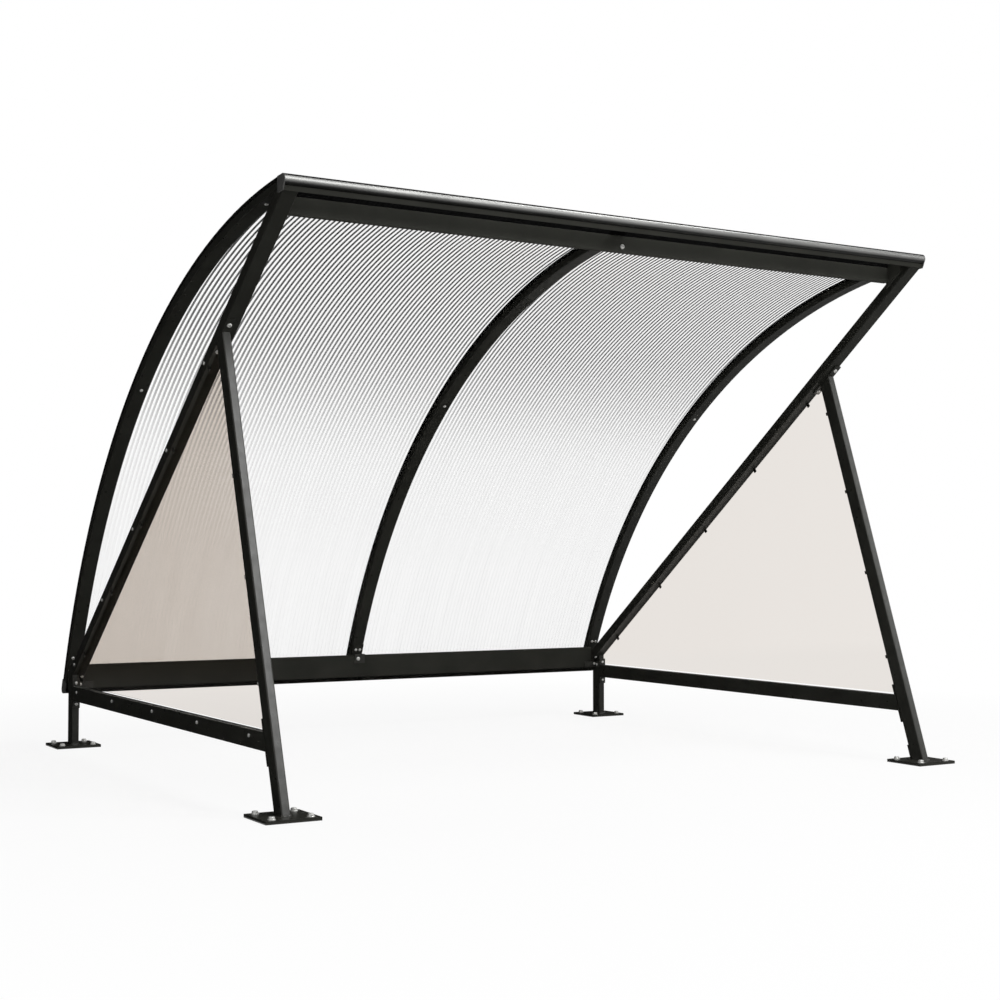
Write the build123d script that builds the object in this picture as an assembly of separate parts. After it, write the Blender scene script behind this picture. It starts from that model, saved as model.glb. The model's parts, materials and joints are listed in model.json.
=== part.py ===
from build123d import *
import math
import os

# An open-fronted bicycle shelter: two welded side frames, three curved arches that carry
# a twin-wall roof, a front beam, a rear rail, half-round edge profiles and clear side panels.
# X runs to the right, Y to the back, Z up. All lengths in millimetres, angles in degrees.
# While it is built, Y is measured from the centre of the front feet.

# Main sizes
frame_width = 2930.0            # over the outer faces of the two side frames
foot_spacing = 2410.0           # front foot to rear foot
roof_front_height = 2106.0      # underside of the arches at the front edge
roof_front_overhang = 15.7      # front edge of the arches ahead of the front feet
roof_rear_drop = 85.0           # inside of the arches at the rear edge, under the middle of the struts
roof_rear_overhang = 86.5       # rear edge of the arches behind the rear feet
arch_rise = 475.0               # height of the arch over its chord

# Frame tube of legs, posts and side rails
tube_width = 33.0
tube_depth = 66.0
tube_wall = 3.0
tube_corner = 5.0

# Struts and arches
strut_width = 60.0
strut_depth = 45.0
strut_rear_height = 330.0       # middle of the strut over the rear feet
strut_front_rise = 8.7          # middle of the strut over the roof edge, at the front feet
arch_width = 60.0
arch_depth = 30.0
arch_bevel = 3.0

# Feet
foot_plate_width = 200.0
foot_plate_depth = 190.0
foot_plate_thickness = 12.0
foot_hole_spacing_x = 140.0
foot_hole_spacing_y = 140.0
foot_hole_diameter = 14.0

# Front leg
leg_lean = 18.7
leg_flange_length = 184.0
leg_flange_thickness = 8.0
heel_height = 55.0
heel_depth = 18.0
heel_thickness = 6.0

# Side rails with their end plates
rail_drop = 88.0                # middle of the side rails under the rear end of the struts
rail_plate_thickness = 8.0
rail_rear_plate_height = 132.0
rail_front_plate_height = 164.0

# Clear side panels and their clips
panel_thickness = 5.0
panel_gap = 8.0
panel_rear_gap = 22.0           # between the panel and the rear post
clip_thickness = 5.0
clip_width = 14.0
strut_clip_grip = 9.0
leg_clip_grip = 16.0
strut_clip_shares = (0.06, 0.275, 0.49, 0.705, 0.92)
leg_clip_shares = (0.094, 0.354, 0.616, 0.88)

# Roof sheets, strips and edge profiles
sheet_thickness = 10.0
sheet_joint = 6.0
strip_thickness = 3.0
edge_strip_width = 54.0
clamp_strip_width = 60.0
nose_radius = 20.0
nose_wall = 3.0
nose_skirt = 18.6               # back wall of the edge profiles under their half round
nose_flange_length = 62.0
cap_thickness = 4.0
cap_reach = 42.0
cap_hollow = 2.0
cap_bevel = 1.5

# Front beam and its seal
beam_setback = 118.0            # front face of the beam behind the front feet
beam_depth = 30.0
beam_height = 65.0
beam_wall = 3.0
beam_plate_thickness = 6.0
beam_plate_reach = 70.0         # end plates ahead of the beam
beam_plate_inset = 18.0         # rear edge of the end plates ahead of the back of the beam
seal_height = 15.9              # between the beam and the lower side of the roof sheets
seal_setback = 1.0
seal_depth = 20.0

# Rear rail and the brackets
rear_rail_height = 110.0
rear_rail_depth = 30.0
rear_rail_drop = 70.0           # bottom of the rear rail under the middle of the struts
bracket_thickness = 5.0
bracket_front_leg = 40.0
bracket_arch_leg = 54.0
bracket_width = 56.0
front_bracket_drop = 62.0       # lower end of the front bracket under the top of the beam
corner_bracket_height = 30.0
corner_bracket_gap = 8.0        # between the bracket and the strut over it
corner_bracket_rail_leg = 48.0
gusset_thickness = 8.0
gusset_height = 70.0

fit_gap = 0.3                   # between curved faces that lie on each other
overrun = 400.0                 # reach of the cutting shapes past what they cut


# Layout worked out from the sizes
outer_face = frame_width / 2
half_spacing = outer_face - tube_width / 2
strut_inner_face = outer_face - strut_width
leg_inner_face = outer_face - tube_width
beam_half_length = strut_inner_face - beam_plate_thickness

lean = math.radians(leg_lean)
leg_along = (math.sin(lean), math.cos(lean))
leg_back = (math.cos(lean), -math.sin(lean))

strut_front = (0.0, roof_front_height + strut_front_rise)
strut_rear = (foot_spacing, strut_rear_height)
strut_length = math.hypot(strut_rear[0] - strut_front[0], strut_rear[1] - strut_front[1])
strut_along = ((strut_rear[0] - strut_front[0]) / strut_length,
               (strut_rear[1] - strut_front[1]) / strut_length)
strut_up = (-strut_along[1], strut_along[0])

post_front = foot_spacing - tube_depth / 2
post_rear = foot_spacing + tube_depth / 2
rail_middle_height = strut_rear_height - rail_drop
rail_bottom = rail_middle_height - tube_depth / 2
rail_top = rail_middle_height + tube_depth / 2
rear_rail_bottom = strut_rear_height - rear_rail_drop
rear_rail_top = rear_rail_bottom + rear_rail_height
rear_rail_front = post_rear - rear_rail_depth

# Circle of the arches, from its two inside end points and its rise
arch_front_end = (-roof_front_overhang, roof_front_height)
arch_rear_end = (foot_spacing + roof_rear_overhang, strut_rear_height - roof_rear_drop)
chord = math.hypot(arch_rear_end[0] - arch_front_end[0], arch_rear_end[1] - arch_front_end[1])
arch_inside = chord ** 2 / (8 * arch_rise) + arch_rise / 2
chord_along = ((arch_rear_end[0] - arch_front_end[0]) / chord,
               (arch_rear_end[1] - arch_front_end[1]) / chord)
centre_drop = arch_inside - arch_rise
arch_y = (arch_front_end[0] + arch_rear_end[0]) / 2 + chord_along[1] * centre_drop
arch_z = (arch_front_end[1] + arch_rear_end[1]) / 2 - chord_along[0] * centre_drop
front_angle = math.atan2(arch_front_end[1] - arch_z, arch_front_end[0] - arch_y)
rear_angle = math.atan2(arch_rear_end[1] - arch_z, arch_rear_end[0] - arch_y)
arch_outside = arch_inside + arch_depth
sheet_inside = arch_outside + fit_gap
sheet_outside = sheet_inside + sheet_thickness
strip_inside = sheet_outside + fit_gap
strip_outside = strip_inside + strip_thickness
nose_middle = strip_inside + nose_wall - nose_radius


def height_at(radius, y):
    # height of a circle about the centre of the arches, at a place along Y
    return arch_z + math.sqrt(radius ** 2 - (y - arch_y) ** 2)


beam_rear = beam_setback + beam_depth
beam_top = min(height_at(sheet_inside, beam_setback), height_at(sheet_inside, beam_rear)) - seal_height


def along(point, direction, distance):
    return (point[0] + direction[0] * distance, point[1] + direction[1] * distance)


def meet(point, direction, other_point, other_direction):
    # where two lines of the side view cross
    cross = direction[0] * other_direction[1] - direction[1] * other_direction[0]
    away = (other_point[0] - point[0], other_point[1] - point[1])
    return along(point, direction, (away[0] * other_direction[1] - away[1] * other_direction[0]) / cross)


def prism(outline, x_from, x_to):
    # an outline of the side view, carried from one X to another
    face = make_face(Polyline(*outline, close=True))
    return Pos(x_from, 0, 0) * extrude(Plane.YZ * face, x_to - x_from)


def carried(face, x_from, x_to):
    return Pos(x_from, 0, 0) * extrude(Plane.YZ * face, x_to - x_from)


def on_circle(radius, angle):
    return (arch_y + radius * math.cos(angle), arch_z + radius * math.sin(angle))


def ring_sector(inside, outside, from_angle, to_angle):
    middle = (from_angle + to_angle) / 2
    return make_face([
        ThreePointArc(on_circle(outside, from_angle), on_circle(outside, middle), on_circle(outside, to_angle)),
        Line(on_circle(outside, to_angle), on_circle(inside, to_angle)),
        ThreePointArc(on_circle(inside, to_angle), on_circle(inside, middle), on_circle(inside, from_angle)),
        Line(on_circle(inside, from_angle), on_circle(outside, from_angle))])


def angle_at_height(radius, height):
    return math.asin((height - arch_z) / radius)


def angle_at(radius, y):
    return math.acos((y - arch_y) / radius)


def tube(x_middle, width, depth, wall, start, end):
    # a rectangular tube with round corners between two points of the side view, cut longer than them
    length = math.hypot(end[0] - start[0], end[1] - start[1])
    direction = Vector(0, (end[0] - start[0]) / length, (end[1] - start[1]) / length)
    origin = Vector(x_middle, start[0], start[1]) - direction * overrun
    plane = Plane(origin=origin, x_dir=(1, 0, 0), z_dir=direction)
    profile = RectangleRounded(width, depth, tube_corner)
    profile -= Rectangle(width - 2 * wall, depth - 2 * wall)
    return extrude(plane * profile, length + 2 * overrun)


def left_of(solid):
    return mirror(solid, about=Plane.YZ)


# One side frame, built on the right
def build_front_leg():
    # the leg ends on its flange, which lies along the underside of the strut
    under_flange = along(strut_front, strut_up, -strut_depth / 2 - leg_flange_thickness)
    under_strut = along(strut_front, strut_up, -strut_depth / 2)
    foot = meet((0.0, 0.0), leg_along, (0.0, foot_plate_thickness), (1, 0))
    top = meet((0.0, 0.0), leg_along, under_flange, strut_along)
    reach = tube_depth + overrun
    limits = prism([
        (foot[0] - reach, foot_plate_thickness),
        (foot[0] + reach, foot_plate_thickness),
        along(top, strut_along, reach),
        along(top, strut_along, -reach)], leg_inner_face, outer_face)
    leg = tube(half_spacing, tube_width, tube_depth, tube_wall, foot, top) & limits
    middle = meet((0.0, 0.0), leg_along, under_strut, strut_along)
    first = along(middle, strut_along, -leg_flange_length / 2)
    last = along(middle, strut_along, leg_flange_length / 2)
    flange = prism([
        first, last,
        along(last, strut_up, -leg_flange_thickness),
        along(first, strut_up, -leg_flange_thickness)], leg_inner_face, outer_face)
    rear_line = along((0.0, 0.0), leg_back, tube_depth / 2)
    heel_line = along(rear_line, leg_back, heel_depth)
    floor_line = (0.0, foot_plate_thickness)
    heel_line_top = (0.0, foot_plate_thickness + heel_height)
    heel = prism([
        meet(rear_line, leg_along, floor_line, (1, 0)),
        meet(heel_line, leg_along, floor_line, (1, 0)),
        meet(heel_line, leg_along, heel_line_top, (1, 0)),
        meet(rear_line, leg_along, heel_line_top, (1, 0))],
        half_spacing - heel_thickness / 2, half_spacing + heel_thickness / 2)
    return leg + flange + heel


def build_rear_post():
    # the top of the post is cut to the underside of the strut
    under_strut = along(strut_front, strut_up, -strut_depth / 2)
    front_top = meet((post_front, 0.0), (0, 1), under_strut, strut_along)
    rear_top = meet((post_rear, 0.0), (0, 1), under_strut, strut_along)
    limits = prism([
        (post_front, foot_plate_thickness),
        (post_rear, foot_plate_thickness),
        rear_top, front_top], leg_inner_face, outer_face)
    return tube(half_spacing, tube_width, tube_depth, tube_wall,
                (foot_spacing, foot_plate_thickness), (foot_spacing, strut_rear_height)) & limits


def build_strut():
    # square-cut behind the post, coped under the arch and stopped by the front edge profile
    body = tube(outer_face - strut_width / 2, strut_width, strut_depth, tube_wall, strut_front, strut_rear)
    reach = strut_depth + overrun
    front_limit = on_circle(arch_inside - reach, front_angle)
    limits = prism([
        on_circle(arch_inside, front_angle),
        front_limit,
        (post_rear, 0.0),
        (post_rear, arch_rear_end[1] + reach),
        on_circle(arch_inside, (front_angle + rear_angle) / 2),
        on_circle(arch_inside + reach, front_angle)], strut_inner_face, outer_face)
    disc = make_face(Edge.make_circle(arch_inside - fit_gap))
    under_arch = carried(Pos(arch_y, arch_z) * disc, strut_inner_face, outer_face)
    return body & limits & under_arch


def build_side_rail():
    # a tube between two end plates that are bolted to the leg and to the post
    rear_face = along((0.0, 0.0), leg_back, tube_depth / 2)
    plate_face = along(rear_face, leg_back, rail_plate_thickness)
    rear_plate_face = post_front - rail_plate_thickness
    low = (0.0, rail_bottom)
    high = (0.0, rail_top)
    limits = prism([
        meet(plate_face, leg_along, low, (1, 0)),
        (rear_plate_face, rail_bottom),
        (rear_plate_face, rail_top),
        meet(plate_face, leg_along, high, (1, 0))], leg_inner_face, outer_face)
    rail = tube(half_spacing, tube_width, tube_depth, tube_wall,
                (0.0, rail_middle_height), (foot_spacing, rail_middle_height)) & limits
    centre = meet(rear_face, leg_along, (0.0, rail_middle_height), (1, 0))
    first = along(centre, leg_along, -rail_front_plate_height / 2)
    last = along(centre, leg_along, rail_front_plate_height / 2)
    front_plate = prism([
        first, last,
        along(last, leg_back, rail_plate_thickness),
        along(first, leg_back, rail_plate_thickness)], leg_inner_face, outer_face)
    rear_plate = prism([
        (rear_plate_face, rail_middle_height - rail_rear_plate_height / 2),
        (post_front, rail_middle_height - rail_rear_plate_height / 2),
        (post_front, rail_middle_height + rail_rear_plate_height / 2),
        (rear_plate_face, rail_middle_height + rail_rear_plate_height / 2)], leg_inner_face, outer_face)
    return rail + front_plate + rear_plate


# Edges that the clear panel keeps its gap from, as a point and a direction each
strut_edge = (along(strut_front, strut_up, -strut_depth / 2), strut_along)
leg_edge = (along((0.0, 0.0), leg_back, tube_depth / 2), leg_along)
rail_edge = ((0.0, rail_top), (1, 0))
post_edge = ((post_front, 0.0), (0, 1))


def panel_corners(gap, rear_gap):
    under_strut = along(strut_edge[0], strut_up, -gap)
    behind_leg = along(leg_edge[0], leg_back, gap)
    over_rail = (0.0, rail_top + gap)
    before_post = (post_front - rear_gap, 0.0)
    return [
        meet(under_strut, strut_along, behind_leg, leg_along),
        meet(behind_leg, leg_along, over_rail, (1, 0)),
        meet(over_rail, (1, 0), before_post, (0, 1)),
        meet(before_post, (0, 1), under_strut, strut_along)]


def build_side_panel():
    return prism(panel_corners(panel_gap, panel_rear_gap),
                 half_spacing - panel_thickness / 2, half_spacing + panel_thickness / 2)


def build_panel_clips():
    # tabs that stand on the tubes and lie flat on the outside of the panel
    top, front, rear, back = panel_corners(0.0, 0.0)
    rows = (
        (top, back, (-strut_up[0], -strut_up[1]), panel_gap + strut_clip_grip, strut_clip_shares),
        (top, front, leg_back, panel_gap + leg_clip_grip, leg_clip_shares))
    clips = []
    for start, end, inward, reach, shares in rows:
        row_length = math.hypot(end[0] - start[0], end[1] - start[1])
        row_along = ((end[0] - start[0]) / row_length, (end[1] - start[1]) / row_length)
        for share in shares:
            middle = along(start, row_along, row_length * share)
            first = along(middle, row_along, -clip_width / 2)
            last = along(middle, row_along, clip_width / 2)
            clips.append(prism([first, last, along(last, inward, reach), along(first, inward, reach)],
                               half_spacing + panel_thickness / 2,
                               half_spacing + panel_thickness / 2 + clip_thickness))
    return Compound(children=clips)


def build_foot_plate():
    plate = extrude(Rectangle(foot_plate_width, foot_plate_depth), foot_plate_thickness)
    holes = GridLocations(foot_hole_spacing_x, foot_hole_spacing_y, 2, 2)
    return plate - holes * extrude(Circle(foot_hole_diameter / 2), foot_plate_thickness)


def build_corner_bracket():
    # joins the end of the rear rail to the inner face of the post, under the strut
    high = meet((rear_rail_front, 0.0), (0, 1), *strut_edge)[1] - corner_bracket_gap
    low = high - corner_bracket_height
    rail_leg = prism([
        (rear_rail_front - bracket_thickness, low), (rear_rail_front, low),
        (rear_rail_front, high), (rear_rail_front - bracket_thickness, high)],
        strut_inner_face - corner_bracket_rail_leg, leg_inner_face)
    post_leg = prism([
        (post_front, low), (rear_rail_front, low), (rear_rail_front, high), (post_front, high)],
        leg_inner_face - bracket_thickness, leg_inner_face)
    return rail_leg + post_leg


def build_arch_gusset():
    # welded between the back of the post and the inside of the arch
    seat = arch_inside - fit_gap
    low_angle = angle_at_height(seat, arch_rear_end[1] + fit_gap)
    high_angle = angle_at_height(seat, arch_rear_end[1] + fit_gap + gusset_height)
    low = on_circle(seat, low_angle)
    high = on_circle(seat, high_angle)
    middle = on_circle(seat, (low_angle + high_angle) / 2)
    outline = make_face([
        Line((post_rear, low[1]), low),
        ThreePointArc(low, middle, high),
        Line(high, (post_rear, high[1])),
        Line((post_rear, high[1]), (post_rear, low[1]))])
    return carried(outline, half_spacing - gusset_thickness / 2, half_spacing + gusset_thickness / 2)


# Arches, roof and edge profiles
def build_arch(x_middle):
    # a rolled tube with bevelled corners, from the rear edge of the roof to its front edge
    def rolled(half_width, inside, outside, bevel):
        profile = Polyline(
            (inside, -half_width + bevel), (inside + bevel, -half_width),
            (outside - bevel, -half_width), (outside, -half_width + bevel),
            (outside, half_width - bevel), (outside - bevel, half_width),
            (inside + bevel, half_width), (inside, half_width - bevel), close=True)
        direction = Vector(0, math.cos(rear_angle), math.sin(rear_angle))
        start = Plane(origin=(x_middle, arch_y, arch_z), x_dir=direction,
                      z_dir=Vector(1, 0, 0).cross(direction) * -1)
        axis = Axis((x_middle, arch_y, arch_z), (1, 0, 0))
        return revolve(start * make_face(profile), axis, math.degrees(front_angle - rear_angle))

    outer = rolled(arch_width / 2, arch_inside, arch_outside, arch_bevel)
    bore_sector = ring_sector(arch_inside + tube_wall, arch_outside - tube_wall, rear_angle, front_angle)
    bore = carried(bore_sector, x_middle - arch_width / 2 + tube_wall, x_middle + arch_width / 2 - tube_wall)
    return outer - bore


def build_middle_arch():
    # shorter than the others, because it butts against the back of the front beam
    low = roof_front_height - overrun
    high = roof_front_height + overrun
    beyond = arch_front_end[0] - overrun
    ahead = prism([(beyond, low), (beam_rear, low), (beam_rear, high), (beyond, high)], -arch_width, arch_width)
    return build_arch(0.0) - ahead


def build_sheet(x_from, x_to):
    return carried(ring_sector(sheet_inside, sheet_outside, rear_angle, front_angle), x_from, x_to)


strip_cut_angle = (nose_flange_length + fit_gap) / strip_inside


def build_clamp_strip():
    sector = ring_sector(strip_inside, strip_outside, rear_angle + strip_cut_angle, front_angle - strip_cut_angle)
    return carried(sector, -clamp_strip_width / 2, clamp_strip_width / 2)


def build_edge_strip():
    # an angle that holds the sheet down and closes its outer edge
    first = rear_angle + strip_cut_angle
    last = front_angle - strip_cut_angle
    top = carried(ring_sector(strip_inside, strip_outside, first, last), outer_face - edge_strip_width, outer_face)
    side = carried(ring_sector(sheet_inside, strip_outside, first, last), outer_face - strip_thickness, outer_face)
    return top + side


def nose_axes(angle, outward):
    # middle of the half round at the end of the arches, its direction off the sheets and its direction outward
    radial = (math.cos(angle), math.sin(angle))
    tangent = (-math.sin(angle) * outward, math.cos(angle) * outward)
    return on_circle(nose_middle, angle), radial, tangent


def nose_point(axes, ahead, above):
    centre, radial, tangent = axes
    return along(along(centre, tangent, ahead), radial, above)


def half_round(axes, radius, start):
    # half disc past the end of the arches, from a start line
    disc = Pos(*axes[0]) * Circle(radius)
    half = make_face(Polyline(
        nose_point(axes, start, -overrun), nose_point(axes, overrun, -overrun),
        nose_point(axes, overrun, overrun), nose_point(axes, start, overrun), close=True))
    return disc & half


def build_nose(angle, outward):
    # a hollow half round with a back wall that hangs below it, and a flange over the sheets
    axes = nose_axes(angle, outward)
    shape = half_round(axes, nose_radius, 0.0) - half_round(axes, nose_radius - nose_wall, nose_wall)
    low = -nose_radius - nose_skirt
    shape += make_face(Polyline(
        nose_point(axes, 0.0, low), nose_point(axes, nose_wall, low),
        nose_point(axes, nose_wall, 0.0), nose_point(axes, 0.0, 0.0), close=True))
    flange_angle = angle - outward * nose_flange_length / strip_inside
    shape += ring_sector(strip_inside, strip_inside + nose_wall, min(angle, flange_angle), max(angle, flange_angle))
    return carried(shape, -outer_face, outer_face)


def build_cap(angle, outward):
    # closes the end of the edge profile and of the arch behind it, hollowed on the inside
    axes = nose_axes(angle, outward)
    low = -nose_radius - nose_skirt
    # the front edge runs from the foot of the back wall up to where it touches the half round
    foot_turn = math.atan2(low, nose_wall) + math.acos(nose_radius / math.hypot(low, nose_wall))
    touch = nose_point(axes, nose_radius * math.cos(foot_turn), nose_radius * math.sin(foot_turn))
    shape = half_round(axes, nose_radius, 0.0) + make_face(Polyline(
        nose_point(axes, -cap_reach, low), nose_point(axes, nose_wall, low), touch,
        nose_point(axes, 0.0, 0.0), nose_point(axes, 0.0, nose_radius),
        nose_point(axes, -cap_reach, nose_radius), close=True))
    cap = carried(shape, outer_face, outer_face + cap_thickness)
    cap = chamfer(cap.faces().sort_by(Axis.X)[-1].edges(), cap_bevel)
    hollow = half_round(axes, nose_radius - 2 * nose_wall, 2 * nose_wall)
    return cap - carried(hollow, outer_face, outer_face + cap_hollow)


# Front beam, its seal and the rear rail
def straight_tube(depth, height, wall, y_from, z_from, half_length):
    profile = RectangleRounded(depth, height, tube_corner) - Rectangle(depth - 2 * wall, height - 2 * wall)
    return carried(Pos(y_from + depth / 2, z_from + height / 2) * profile, -half_length, half_length)


def strut_height(y):
    # height of the middle of the struts, at a place along Y
    return meet(strut_front, strut_along, (y, 0.0), (0, 1))[1]


def build_front_beam():
    # its end plates lie on the inner sides of the struts and of the outer arches and close the corner between them
    beam = straight_tube(beam_depth, beam_height, beam_wall, beam_setback, beam_top - beam_height, beam_half_length)
    front = beam_setback - beam_plate_reach
    rear = beam_rear - beam_plate_inset
    seat = arch_inside + arch_depth / 2
    outline = [(front, strut_height(front)), (rear, strut_height(rear)),
               (rear, height_at(seat, rear)), (front, height_at(seat, front))]
    plate = prism(outline, beam_half_length, strut_inner_face)
    return beam + plate + left_of(plate)


def build_front_seal():
    # stands on the beam and closes the gap to the sheets, ahead of the middle arch
    front = beam_setback + seal_setback
    rear = front + seal_depth
    seat = sheet_inside - fit_gap
    outline = [(front, beam_top), (rear, beam_top), (rear, height_at(seat, rear)), (front, height_at(seat, front))]
    return prism(outline, -beam_half_length, beam_half_length)


def build_front_bracket():
    # an angle behind the beam that carries the front end of the middle arch
    seat = arch_inside - fit_gap
    back = beam_rear + bracket_thickness
    low = beam_top - front_bracket_drop
    beam_leg = prism([
        (beam_rear, low), (back, low), (back, height_at(seat, back)), (beam_rear, height_at(seat, beam_rear))],
        -bracket_width / 2, bracket_width / 2)
    sector = ring_sector(seat - bracket_thickness, seat, angle_at(seat, back + bracket_arch_leg),
                         angle_at(seat, beam_rear + bracket_thickness / 2))
    return beam_leg + carried(sector, -bracket_width / 2, bracket_width / 2)


def build_rear_rail():
    return straight_tube(rear_rail_depth, rear_rail_height, tube_wall,
                         rear_rail_front, rear_rail_bottom, strut_inner_face)


def build_rear_bracket():
    # a strap from the front of the rear rail over its top and up the inside of the middle arch
    seat = arch_inside - fit_gap
    front = rear_rail_front - bracket_thickness
    step = rear_rail_top + bracket_thickness
    low_angle = angle_at_height(seat, rear_rail_top)
    step_angle = angle_at_height(seat, step)
    high_angle = angle_at_height(seat, rear_rail_top + bracket_arch_leg)
    strap = [
        (front, rear_rail_top - bracket_front_leg), (rear_rail_front, rear_rail_top - bracket_front_leg),
        (rear_rail_front, rear_rail_top),
        (on_circle(seat, low_angle)[0] - bracket_thickness / 2, rear_rail_top),
        (on_circle(seat, step_angle)[0] - bracket_thickness / 2, step), (front, step)]
    arch_leg = carried(ring_sector(seat - bracket_thickness, seat, low_angle, high_angle),
                       -bracket_width / 2, bracket_width / 2)
    return prism(strap, -bracket_width / 2, bracket_width / 2) + arch_leg


pieces = {}

side_builders = {
    "front_leg": build_front_leg,
    "rear_post": build_rear_post,
    "strut": build_strut,
    "side_rail": build_side_rail,
    "side_panel": build_side_panel,
    "panel_clips": build_panel_clips,
    "corner_bracket": build_corner_bracket,
    "arch_gusset": build_arch_gusset,
    "edge_strip": build_edge_strip,
}
for name, builder in side_builders.items():
    solid = builder()
    pieces["right_" + name] = solid
    pieces["left_" + name] = left_of(solid)

foot_plate = build_foot_plate()
for side, sign in (("left", -1), ("right", 1)):
    pieces[side + "_front_foot_plate"] = Pos(sign * half_spacing, 0, 0) * foot_plate
    pieces[side + "_rear_foot_plate"] = Pos(sign * half_spacing, foot_spacing, 0) * foot_plate

arch_place = outer_face - arch_width / 2
pieces["left_arch"] = build_arch(-arch_place)
pieces["middle_arch"] = build_middle_arch()
pieces["right_arch"] = build_arch(arch_place)

sheet_edge = outer_face - strip_thickness - fit_gap
pieces["left_roof_sheet"] = build_sheet(-sheet_edge, -sheet_joint / 2)
pieces["right_roof_sheet"] = build_sheet(sheet_joint / 2, sheet_edge)
pieces["middle_clamp_strip"] = build_clamp_strip()

for end, angle, outward in (("front", front_angle, 1), ("rear", rear_angle, -1)):
    pieces[end + "_nose"] = build_nose(angle, outward)
    cap = build_cap(angle, outward)
    pieces["right_" + end + "_cap"] = cap
    pieces["left_" + end + "_cap"] = left_of(cap)

pieces["front_beam"] = build_front_beam()
pieces["front_seal"] = build_front_seal()
pieces["front_arch_bracket"] = build_front_bracket()
pieces["rear_rail"] = build_rear_rail()
pieces["rear_arch_bracket"] = build_rear_bracket()

# The origin goes to the middle of the footprint, on the floor
boxes = [solid.bounding_box() for solid in pieces.values()]
front_reach = min(box.min.Y for box in boxes)
rear_reach = max(box.max.Y for box in boxes)
home = Pos(0, -(front_reach + rear_reach) / 2, 0)

os.makedirs("parts", exist_ok=True)
for name, solid in pieces.items():
    export_step(home * solid, "parts/" + name + ".step")
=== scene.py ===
import json
import math

import bpy
import numpy as np
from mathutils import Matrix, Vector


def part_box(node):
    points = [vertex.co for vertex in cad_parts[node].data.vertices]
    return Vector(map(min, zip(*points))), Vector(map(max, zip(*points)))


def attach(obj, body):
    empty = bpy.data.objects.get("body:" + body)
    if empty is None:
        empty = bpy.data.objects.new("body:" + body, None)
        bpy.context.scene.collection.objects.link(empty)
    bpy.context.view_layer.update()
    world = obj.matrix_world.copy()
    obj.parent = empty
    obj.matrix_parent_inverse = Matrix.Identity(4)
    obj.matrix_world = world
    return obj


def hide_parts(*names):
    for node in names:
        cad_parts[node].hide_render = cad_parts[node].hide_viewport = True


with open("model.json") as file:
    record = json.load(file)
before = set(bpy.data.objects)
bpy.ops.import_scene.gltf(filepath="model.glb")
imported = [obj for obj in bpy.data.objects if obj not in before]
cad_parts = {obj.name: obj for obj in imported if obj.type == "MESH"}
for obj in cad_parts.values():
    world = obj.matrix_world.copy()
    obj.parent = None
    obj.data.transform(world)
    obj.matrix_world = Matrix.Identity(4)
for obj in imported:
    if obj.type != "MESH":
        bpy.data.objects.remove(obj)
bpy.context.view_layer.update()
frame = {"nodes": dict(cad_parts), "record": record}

nodes = frame["nodes"]
scene = bpy.context.scene
scene.view_settings.view_transform = "Standard"
scene.cycles.transparent_max_bounces = 32   # a look along the ribs crosses many clear faces
print("frame loaded,", len(nodes), "nodes")

# sizes of the solids in metres, the lean in degrees; points of the side view are (y, z)
lay = {
    "roofFrontHeight": 2.106,       # inside of the arches at their front end
    "roofFrontOverhang": 0.0157,    # their front end ahead of the front feet
    "roofRearOverhang": 0.0865,     # their rear end behind the rear feet
    "roofRearDrop": 0.085,          # their rear end under the middle of the struts
    "archRise": 0.475,              # height of an arch over its chord
    "archDepth": 0.030,
    "fitGap": 0.0003,               # between curved faces that lie on each other
    "sheetThickness": 0.010,
    "stripThickness": 0.003,
    "strutFrontRise": 0.0087,       # middle of the struts over the roof edge, at the front feet
    "strutRearHeight": 0.330,       # middle of the struts over the rear feet
    "strutDepth": 0.045,
    "legLean": 18.7,
    "railDrop": 0.088,              # middle of the side rails under the rear end of the struts
}

# places read from the frame
frontPlateLow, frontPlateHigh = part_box("right_front_foot_plate")
rearPlateLow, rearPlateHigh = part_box("right_rear_foot_plate")
postLow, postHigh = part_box("right_rear_post")
archLow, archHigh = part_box("right_arch")
halfSpan = (frontPlateLow.x + frontPlateHigh.x) / 2
frontY = (frontPlateLow.y + frontPlateHigh.y) / 2
rearY = (rearPlateLow.y + rearPlateHigh.y) / 2
plateTop = frontPlateHigh.z
outerFace = postHigh.x
tubeWidth, tubeDepth = postHigh.x - postLow.x, postHigh.y - postLow.y
archMiddle = (archLow.x + archHigh.x) / 2
railMiddle = lay["strutRearHeight"] - lay["railDrop"]

# directions of legs and struts in the side view
lean = math.radians(lay["legLean"])
legAlong = np.array([math.sin(lean), math.cos(lean)])
legBack = np.array([math.cos(lean), -math.sin(lean)])
strutTop = np.array([frontY, lay["roofFrontHeight"] + lay["strutFrontRise"]])
strutAlong = np.array([rearY, lay["strutRearHeight"]]) - strutTop
strutAlong /= np.linalg.norm(strutAlong)
strutUp = np.array([-strutAlong[1], strutAlong[0]])

# circle of the roof, from the inside ends of the arches and their rise
frontEnd = np.array([frontY - lay["roofFrontOverhang"], lay["roofFrontHeight"]])
rearEnd = np.array([rearY + lay["roofRearOverhang"], lay["strutRearHeight"] - lay["roofRearDrop"]])
chord = np.linalg.norm(rearEnd - frontEnd)
chordAlong = (rearEnd - frontEnd) / chord
chordDown = np.array([chordAlong[1], -chordAlong[0]])
archInside = chord ** 2 / (8 * lay["archRise"]) + lay["archRise"] / 2
arcCentre = (frontEnd + rearEnd) / 2 + (archInside - lay["archRise"]) * chordDown
frontAngle = math.atan2(frontEnd[1] - arcCentre[1], frontEnd[0] - arcCentre[0])
rearAngle = math.atan2(rearEnd[1] - arcCentre[1], rearEnd[0] - arcCentre[0])
sheetInside = archInside + lay["archDepth"] + lay["fitGap"]
sheetOutside = sheetInside + lay["sheetThickness"]
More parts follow.
